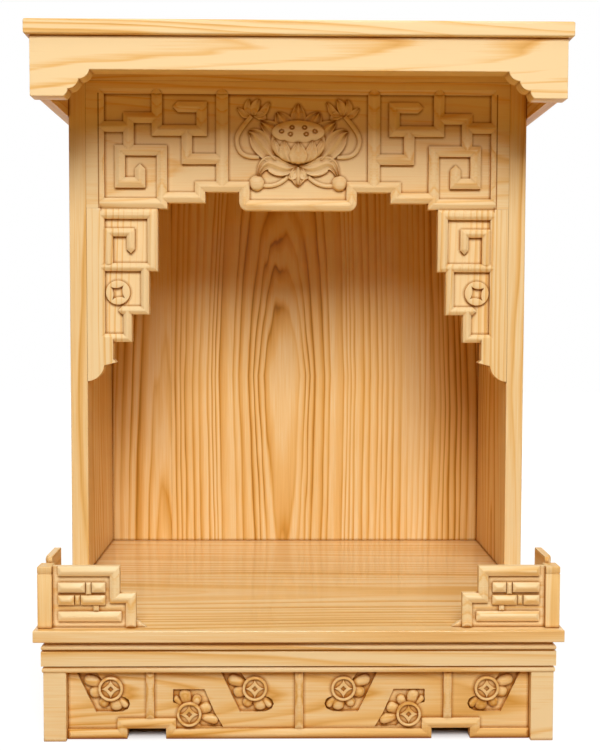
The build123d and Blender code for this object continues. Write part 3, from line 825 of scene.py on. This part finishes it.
class CABINET_OT_lotus(bpy.types.Operator):
    """Carve the lotus with its buds and leaves on the middle of the screen"""

    bl_idname = "cabinet.lotus"
    bl_label = "Carve the Lotus"

    def execute(self, context):
        ground = SCREEN_LOW.y + context.scene.cabinet_pine.relief_depth
        centre = (0, SCREEN_LOW.z / MM + LOTUS_RISE)
        shape = bmesh.new()
        for draw, mirrored in ((self.half, False), (self.half, True), (self.middle, False)):
            before = set(shape.verts)
            draw(shape)
            settle(shape, before, centre, ground, mirrored)
        add_carving("lotus_carving", shape, "valance_panel", smooth_angle=50)
        return {"FINISHED"}

    def half(self, shape):
        for petal in BACK_PETALS[1:]:
            blade(shape, *petal, root=0.6, hollow=0.7)
        for petal in UPPER_PETALS:
            blade(shape, *petal, hollows=1, hollow=0.5)
        blade(shape, *LEAF_TIP, hollows=1, hollow=0.3)
        for petal in FRONT_PETALS:
            blade(shape, *petal, root=0.5, hollow=0.45, bed=pod_bed)
        blade(shape, *CURLED_LEAF, broad=0.4, root=0.1, hollow=0.5)
        for stem, radius in zip((UPPER_STEM, LOWER_STEM), STEM_RADII):
            tube(shape, stem, radius)
        mound(shape, BUD, BUD_RADIUS, BUD_RISE)

    def middle(self, shape):
        blade(shape, *BACK_PETALS[0], root=0.6, hollow=0.7)
        blade(shape, *POINTED_LEAF, root=0.6, hollow=0.5)
        blade(shape, *MIDDLE_PETAL, root=0.6, hollow=0.5, bed=pod_bed)
        pod = bmesh.ops.create_uvsphere(shape, u_segments=48, v_segments=24, radius=1.0)["verts"]
        upright = Matrix.Rotation(math.pi / 2, 3, "X")
        bmesh.ops.rotate(shape, cent=(0, 0, 0), matrix=upright, verts=pod)
        bmesh.ops.scale(shape, vec=(POD_REACH[0], POD_RISE, POD_REACH[1]), verts=pod)
        front = [vertex for vertex in pod if vertex.co.y < 0.001]
        bmesh.ops.translate(shape, vec=(0, -POD_WALL, 0), verts=front)
        bmesh.ops.translate(shape, vec=(POD[0], 0, POD[1]), verts=pod)
        seed_disc(shape)


# The fret's uprights end in points on the plain margin above them (mm): the middle and half-width
# of each on the left, the margin's height, and each point's rise, sunk back and ridge
FRET_TIPS = ((-73.5, 5.75), (-136.5, 5.0))
FRET_MARGIN = 11.5
FRET_TIP_RISE = 7.0
FRET_TIP_BACK = 0.3
FRET_TIP_RIDGE = (-1.3, -1.0)


class CABINET_OT_fret_tips(bpy.types.Operator):
    """Carve the pointed tops of the fret's uprights"""

    bl_idname = "cabinet.fret_tips"
    bl_label = "Carve the Fret's Points"

    def execute(self, context):
        shape = bmesh.new()
        foot = SCREEN_HIGH.z / MM - FRET_MARGIN
        for middle, half_width in FRET_TIPS:
            for mirrored in (False, True):
                before = set(shape.verts)
                self.tip(shape, half_width)
                centre = (-middle if mirrored else middle, foot)
                settle(shape, before, centre, SCREEN_LOW.y, mirrored)
        add_carving("fret_tips", shape, "valance_panel", smooth_angle=20)
        return {"FINISHED"}

    def tip(self, shape, half_width):
        corners = (
            (-half_width, FRET_TIP_BACK, 0.0),
            (0.0, FRET_TIP_BACK, FRET_TIP_RISE),
            (half_width, FRET_TIP_BACK, 0.0),
            (0.0, *FRET_TIP_RIDGE),
        )
        points = bmesh.ops.create_circle(shape, segments=len(corners), radius=1.0)["verts"]
        for vertex, corner in zip(points, corners):
            vertex.co = corner
        bmesh.ops.convex_hull(shape, input=points)


# An apron coin's parts (mm), each with its outer and inner outline, rise and rounding: the rim,
# the star-shaped plate with its diamond hole, and the floor
COIN_PARTS = (
    (circle_rule(10.4), circle_rule(8.1), 3.4, 0.9),
    (star_rule(8.3, 2 / 3), star_rule(2.4, 1.0), 2.6, 0.35),
    (circle_rule(8.4), circle_rule(0.2), 1.0, 0.1),
)

# The cloud lobes round a coin, each from the coin's middle: centre and radius (mm)
HIGH_LOBES = (
    (-18.4, 6.4, 4.7), (-13.6, -3.8, 5.0), (-6.1, -12.6, 4.4),
    (4.4, -14.3, 5.8), (11.8, -14.4, 3.2),
)
LOW_LOBES = (
    (-3.9, 15.6, 5.0), (6.2, 11.6, 4.0), (14.4, 4.6, 4.8),
    (20.6, -5.4, 4.4), (-11.2, 12.4, 2.6),
)
LOBE_RISE = 1.0
LOBE_NECK = 0.45

# The hollows that the clouds stand in, from the coin's middle (mm)
HIGH_HOLLOW = (
    (-28.8, 14.0), (-12.7, -20.4), (0.6, -20.4), (9.5, -20.0),
    (14.2, -17.6), (16.0, -13.6), (14.6, -9.6), (11.5, -7.6),
    (7.0, -7.0), (0.0, 0.0), (-8.0, 8.0), (-12.0, 14.0),
)
LOW_HOLLOW = (
    (-13.8, 21.1), (12.8, 21.1), (21.6, 0.6),
    (24.8, -4.8), (28.6, -11.4), (10.0, -11.4),
    (0.0, 0.0), (-7.0, 8.0), (-13.8, 9.6),
)

# The apron's coins on the left half (mm from the middle, and up). The right half is its mirror
APRON_COINS = (
    (-158.7, 42.8, HIGH_LOBES, HIGH_HOLLOW),
    (-37.4, 42.8, HIGH_LOBES, HIGH_HOLLOW),
    (-92.7, 20.8, LOW_LOBES, LOW_HOLLOW),
)


def carve(piece, cutters):
    """Cuts hollows out of a piece and gives it the finished mesh."""
    for cutter in cutters:
        modifier = piece.modifiers.new("hollow", "BOOLEAN")
        modifier.operation = "DIFFERENCE"
        modifier.solver = "EXACT"
        modifier.object = cutter
    bpy.context.view_layer.update()
    graph = bpy.context.evaluated_depsgraph_get()
    mesh = bpy.data.meshes.new_from_object(piece.evaluated_get(graph))
    piece.modifiers.clear()
    piece.data = mesh
    for cutter in cutters:
        bpy.data.objects.remove(cutter)


def hollow_cutter(corners, centre, ground, depth, mirrored):
    """A prism that cuts a hollow with a plain outline into a panel's ground."""
    clear_of_ground = 6
    shape = bmesh.new()
    face = shape.faces.new([shape.verts.new((x, depth, z)) for x, z in corners])
    front = points_in(bmesh.ops.extrude_face_region(shape, geom=[face])["geom"])
    bmesh.ops.translate(shape, vec=(0, -depth - clear_of_ground, 0), verts=front)
    settle(shape, (), centre, ground, mirrored)
    bmesh.ops.recalc_face_normals(shape, faces=shape.faces)
    mesh = bpy.data.meshes.new("cutter")
    shape.to_mesh(mesh)
    shape.free()
    cutter = bpy.data.objects.new("cutter", mesh)
    bpy.context.collection.objects.link(cutter)
    return cutter


class CABINET_OT_apron_carving(bpy.types.Operator):
    """Carve the coins and clouds of the front apron"""

    bl_idname = "cabinet.apron_carving"
    bl_label = "Carve the Apron"

    def execute(self, context):
        wood = context.scene.cabinet_pine
        ground = APRON_LOW.y + wood.apron_relief
        depth = wood.cloud_depth
        shape = bmesh.new()
        cutters = []
        for mirrored in (False, True):
            for x, rise, lobes, hollow in APRON_COINS:
                centre = (-x if mirrored else x, rise)
                before = set(shape.verts)
                self.coin(shape)
                settle(shape, before, centre, ground)
                before = set(shape.verts)
                self.clouds(shape, lobes, depth)
                settle(shape, before, centre, ground, mirrored)
                cutters.append(hollow_cutter(hollow, centre, ground, depth, mirrored))
        carve(bpy.data.objects["front_apron_wood"], cutters)
        add_carving("apron_coins_and_clouds", shape, "front_apron", smooth_angle=40)
        return {"FINISHED"}

    def coin(self, shape):
        for part in COIN_PARTS:
            pierced(shape, *part)

    def clouds(self, shape, lobes, floor):
        for x, z, reach in lobes:
            mound(shape, (x, z), reach, LOBE_RISE, toward=(0, 0), neck=LOBE_NECK, floor=floor)


# The left bracket's coin (mm): its middle right of the cabinet's and up, how far it is turned,
# and its outer and inner outline, rise and rounding
BRACKET_COIN = (-175.0, 379.1)
BRACKET_COIN_TURN = math.radians(38)
BRACKET_COIN_PART = (circle_rule(11.8), star_rule(8.2, 0.72), 3.6, 1.0)


class CABINET_OT_bracket_coins(bpy.types.Operator):
    """Carve the pierced coins of the drop brackets"""

    bl_idname = "cabinet.bracket_coins"
    bl_label = "Carve the Bracket Coins"

    def execute(self, context):
        ground = SCREEN_LOW.y + context.scene.cabinet_pine.relief_depth
        turn = Matrix.Rotation(BRACKET_COIN_TURN, 3, "Y")
        x, rise = BRACKET_COIN
        for side, mirrored in (("left", False), ("right", True)):
            shape = bmesh.new()
            pierced(shape, *BRACKET_COIN_PART)
            bmesh.ops.rotate(shape, cent=(0, 0, 0), matrix=turn, verts=shape.verts)
            settle(shape, (), (-x if mirrored else x, rise), ground, mirrored)
            board = f"{side}_drop_bracket"
            add_carving(f"{side}_bracket_coin", shape, board, smooth_angle=40)
        return {"FINISHED"}


# The lamps (m): place, target, side, which of the stage's powers, and whether the varnish mirrors
# it. The rear lamps light the back, and would only leave a glare on the floor board
LAMPS = {
    "key_lamp": ((0.12, -2.95, 2.35), (0, 0, 0.3), 1.7, "key_power", True),
    "top_lamp": ((0.0, -0.9, 3.2), (0, -0.1, 0.1), 1.4, "top_power", True),
    "left_rear_lamp": ((-2.2, 2.4, 1.1), (0, 0, 0.3), 1.4, "rear_power", False),
    "right_rear_lamp": ((2.2, 2.4, 1.1), (0, 0, 0.3), 1.4, "rear_power", False),
}

# The floor's white, by the distance beyond the cabinet's base (m): where each rise starts and
# ends, and the share of white that it adds. The first leaves the dark line under the base
FLOOR_WHITE = ((-0.014, 0.002, 0.72), (0.1, 0.9, 0.28))

# How far the base reaches past the apron's ends, with a hair to spare (m), and the height of the
# camera's sensor (mm)
BASE_PAST_APRON = 0.02
SENSOR_HEIGHT = 36.0


def seen_ray(tree):
    """One for the rays that see the white studio, by eye or in a gloss; nought for its light."""
    path = add_node(tree, "ShaderNodeLightPath").outputs
    sockets = (path["Is Glossy Ray"], path["Is Transmission Ray"])
    mirrored = add_node(tree, MATH, sockets, operation="MAXIMUM").outputs[0]
    sockets = (path["Is Camera Ray"], mirrored)
    return add_node(tree, MATH, sockets, operation="MAXIMUM").outputs[0]


class CABINET_OT_stage(bpy.types.Operator):
    """Set out the pale studio floor, the lamps and the camera"""

    bl_idname = "cabinet.stage"
    bl_label = "Set the Stage"

    def execute(self, context):
        scene = context.scene
        stage = scene.cabinet_stage
        self.floor(stage)
        self.sky(scene, stage)
        for name, (place, target, side, power, mirrored) in LAMPS.items():
            self.lamp(name, place, target, side, getattr(stage, power), mirrored)
        self.camera(scene, stage)
        scene.view_settings.view_transform = "Standard"
        return {"FINISHED"}

    def floor(self, stage):
        shape = bmesh.new()
        bmesh.ops.create_grid(shape, x_segments=1, y_segments=1, size=stage.floor_size / 2)
        mesh = bpy.data.meshes.new("studio_floor")
        shape.to_mesh(mesh)
        shape.free()
        mesh.materials.append(self.paper(stage))
        floor = bpy.data.objects.new("studio_floor", mesh)
        bpy.context.collection.objects.link(floor)

    def paper(self, stage):
        """Pale studio paper: matt, white to the eye, with a warm bounce on the wood."""
        material = bpy.data.materials.new("pale_studio_paper")
        material.use_nodes = True
        tree = material.node_tree
        shader = tree.nodes["Principled BSDF"]
        shader.inputs["Base Color"].default_value = linear(stage.floor_colour)
        shader.inputs["Roughness"].default_value = 0.9
        shader.inputs["Specular IOR Level"].default_value = 0.0
        bounce = add_node(tree, "ShaderNodeBsdfDiffuse", {"Color": linear(stage.bounce_colour)})
        white = add_node(tree, "ShaderNodeEmission", {"Strength": stage.paper_glow})
        out = self.beyond_base(tree)
        shares = []
        for start, end, share in FLOOR_WHITE:
            sockets = (out, start, end, 0.0, share)
            shares.append(add_node(tree, "ShaderNodeMapRange", sockets).outputs[0])
        share = add_node(tree, MATH, shares, operation="ADD").outputs[0]
        sockets = (share, shader.outputs[0], white.outputs[0])
        paper = add_node(tree, "ShaderNodeMixShader", sockets)
        sockets = (seen_ray(tree), bounce.outputs[0], paper.outputs[0])
        mixed = add_node(tree, "ShaderNodeMixShader", sockets)
        tree.links.new(mixed.outputs[0], tree.nodes["Material Output"].inputs["Surface"])
        return material

    def beyond_base(self, tree):
        """Distance on the floor beyond the cabinet's base, negative under it."""
        place = add_node(tree, "ShaderNodeTexCoord").outputs["Object"]
        axes = add_node(tree, "ShaderNodeSeparateXYZ", (place,)).outputs
        sides = []
        for axis, reach in (("X", APRON_HIGH.x + BASE_PAST_APRON), ("Y", -APRON_LOW.y)):
            distance = add_node(tree, MATH, (axes[axis],), operation="ABSOLUTE").outputs[0]
            sides.append(add_node(tree, MATH, (distance, reach), operation="SUBTRACT").outputs[0])
        return add_node(tree, MATH, sides, operation="MAXIMUM").outputs[0]

    def sky(self, scene, stage):
        """An even studio light, weak on the wood and white to the eye."""
        world = bpy.data.worlds.new("studio_white")
        world.use_nodes = True
        tree = world.node_tree
        background = tree.nodes["Background"]
        sockets = (seen_ray(tree), 1 - stage.sky_level, stage.sky_level)
        level = add_node(tree, MATH, sockets, operation="MULTIPLY_ADD").outputs[0]
        background.inputs["Color"].default_value = (1.0, 1.0, 1.0, 1.0)
        tree.links.new(level, background.inputs["Strength"])
        scene.world = world

    def lamp(self, name, place, target, side, power, mirrored):
        data = bpy.data.lights.new(name, "AREA")
        data.size = side
        data.energy = power
        lamp = bpy.data.objects.new(name, data)
        lamp.location = place
        lamp.visible_glossy = mirrored
        lamp.rotation_euler = (Vector(target) - Vector(place)).to_track_quat("-Z", "Y").to_euler()
        bpy.context.collection.objects.link(lamp)

    def camera(self, scene, stage):
        data = bpy.data.cameras.new("camera")
        data.sensor_fit = "VERTICAL"
        data.sensor_height = SENSOR_HEIGHT
        data.lens = stage.lens
        camera = bpy.data.objects.new("camera", data)
        turn = (
            Matrix.Rotation(-stage.yaw, 4, "Z")
            @ Matrix.Rotation(math.pi / 2 - stage.pitch, 4, "X")
            @ Matrix.Rotation(stage.roll, 4, "Z")
        )
        camera.matrix_world = Matrix.Translation(stage.camera_place) @ turn
        bpy.context.collection.objects.link(camera)
        scene.camera = camera


class CABINET_PT_sidebar(bpy.types.Panel):
    """List the steps that make the cabinet, in their order"""

    bl_idname = "CABINET_PT_sidebar"
    bl_label = "Pine Altar Cabinet"
    bl_space_type = "VIEW_3D"
    bl_region_type = "UI"
    bl_category = "Cabinet"

    def draw(self, context):
        for operator in STEPS:
            self.layout.operator(operator.bl_idname)


GROUPS = (CabinetPine, CabinetStage)
STEPS = (
    CABINET_OT_boards,
    CABINET_OT_carved_boards,
    CABINET_OT_back_boards,
    CABINET_OT_lotus,
    CABINET_OT_fret_tips,
    CABINET_OT_apron_carving,
    CABINET_OT_bracket_coins,
    CABINET_OT_stage,
)


def register():
    for kind in (*GROUPS, *STEPS, CABINET_PT_sidebar):
        bpy.utils.register_class(kind)
    bpy.types.Scene.cabinet_pine = PointerProperty(type=CabinetPine)
    bpy.types.Scene.cabinet_stage = PointerProperty(type=CabinetStage)


def unregister():
    del bpy.types.Scene.cabinet_stage
    del bpy.types.Scene.cabinet_pine
    for kind in reversed((*GROUPS, *STEPS, CABINET_PT_sidebar)):
        bpy.utils.unregister_class(kind)


def main():
    register()
    bpy.ops.cabinet.boards()
    bpy.ops.cabinet.carved_boards()
    bpy.ops.cabinet.back_boards()
    bpy.ops.cabinet.lotus()
    bpy.ops.cabinet.fret_tips()
    bpy.ops.cabinet.apron_carving()
    bpy.ops.cabinet.bracket_coins()
    bpy.ops.cabinet.stage()


if __name__ == "__main__":
    main()
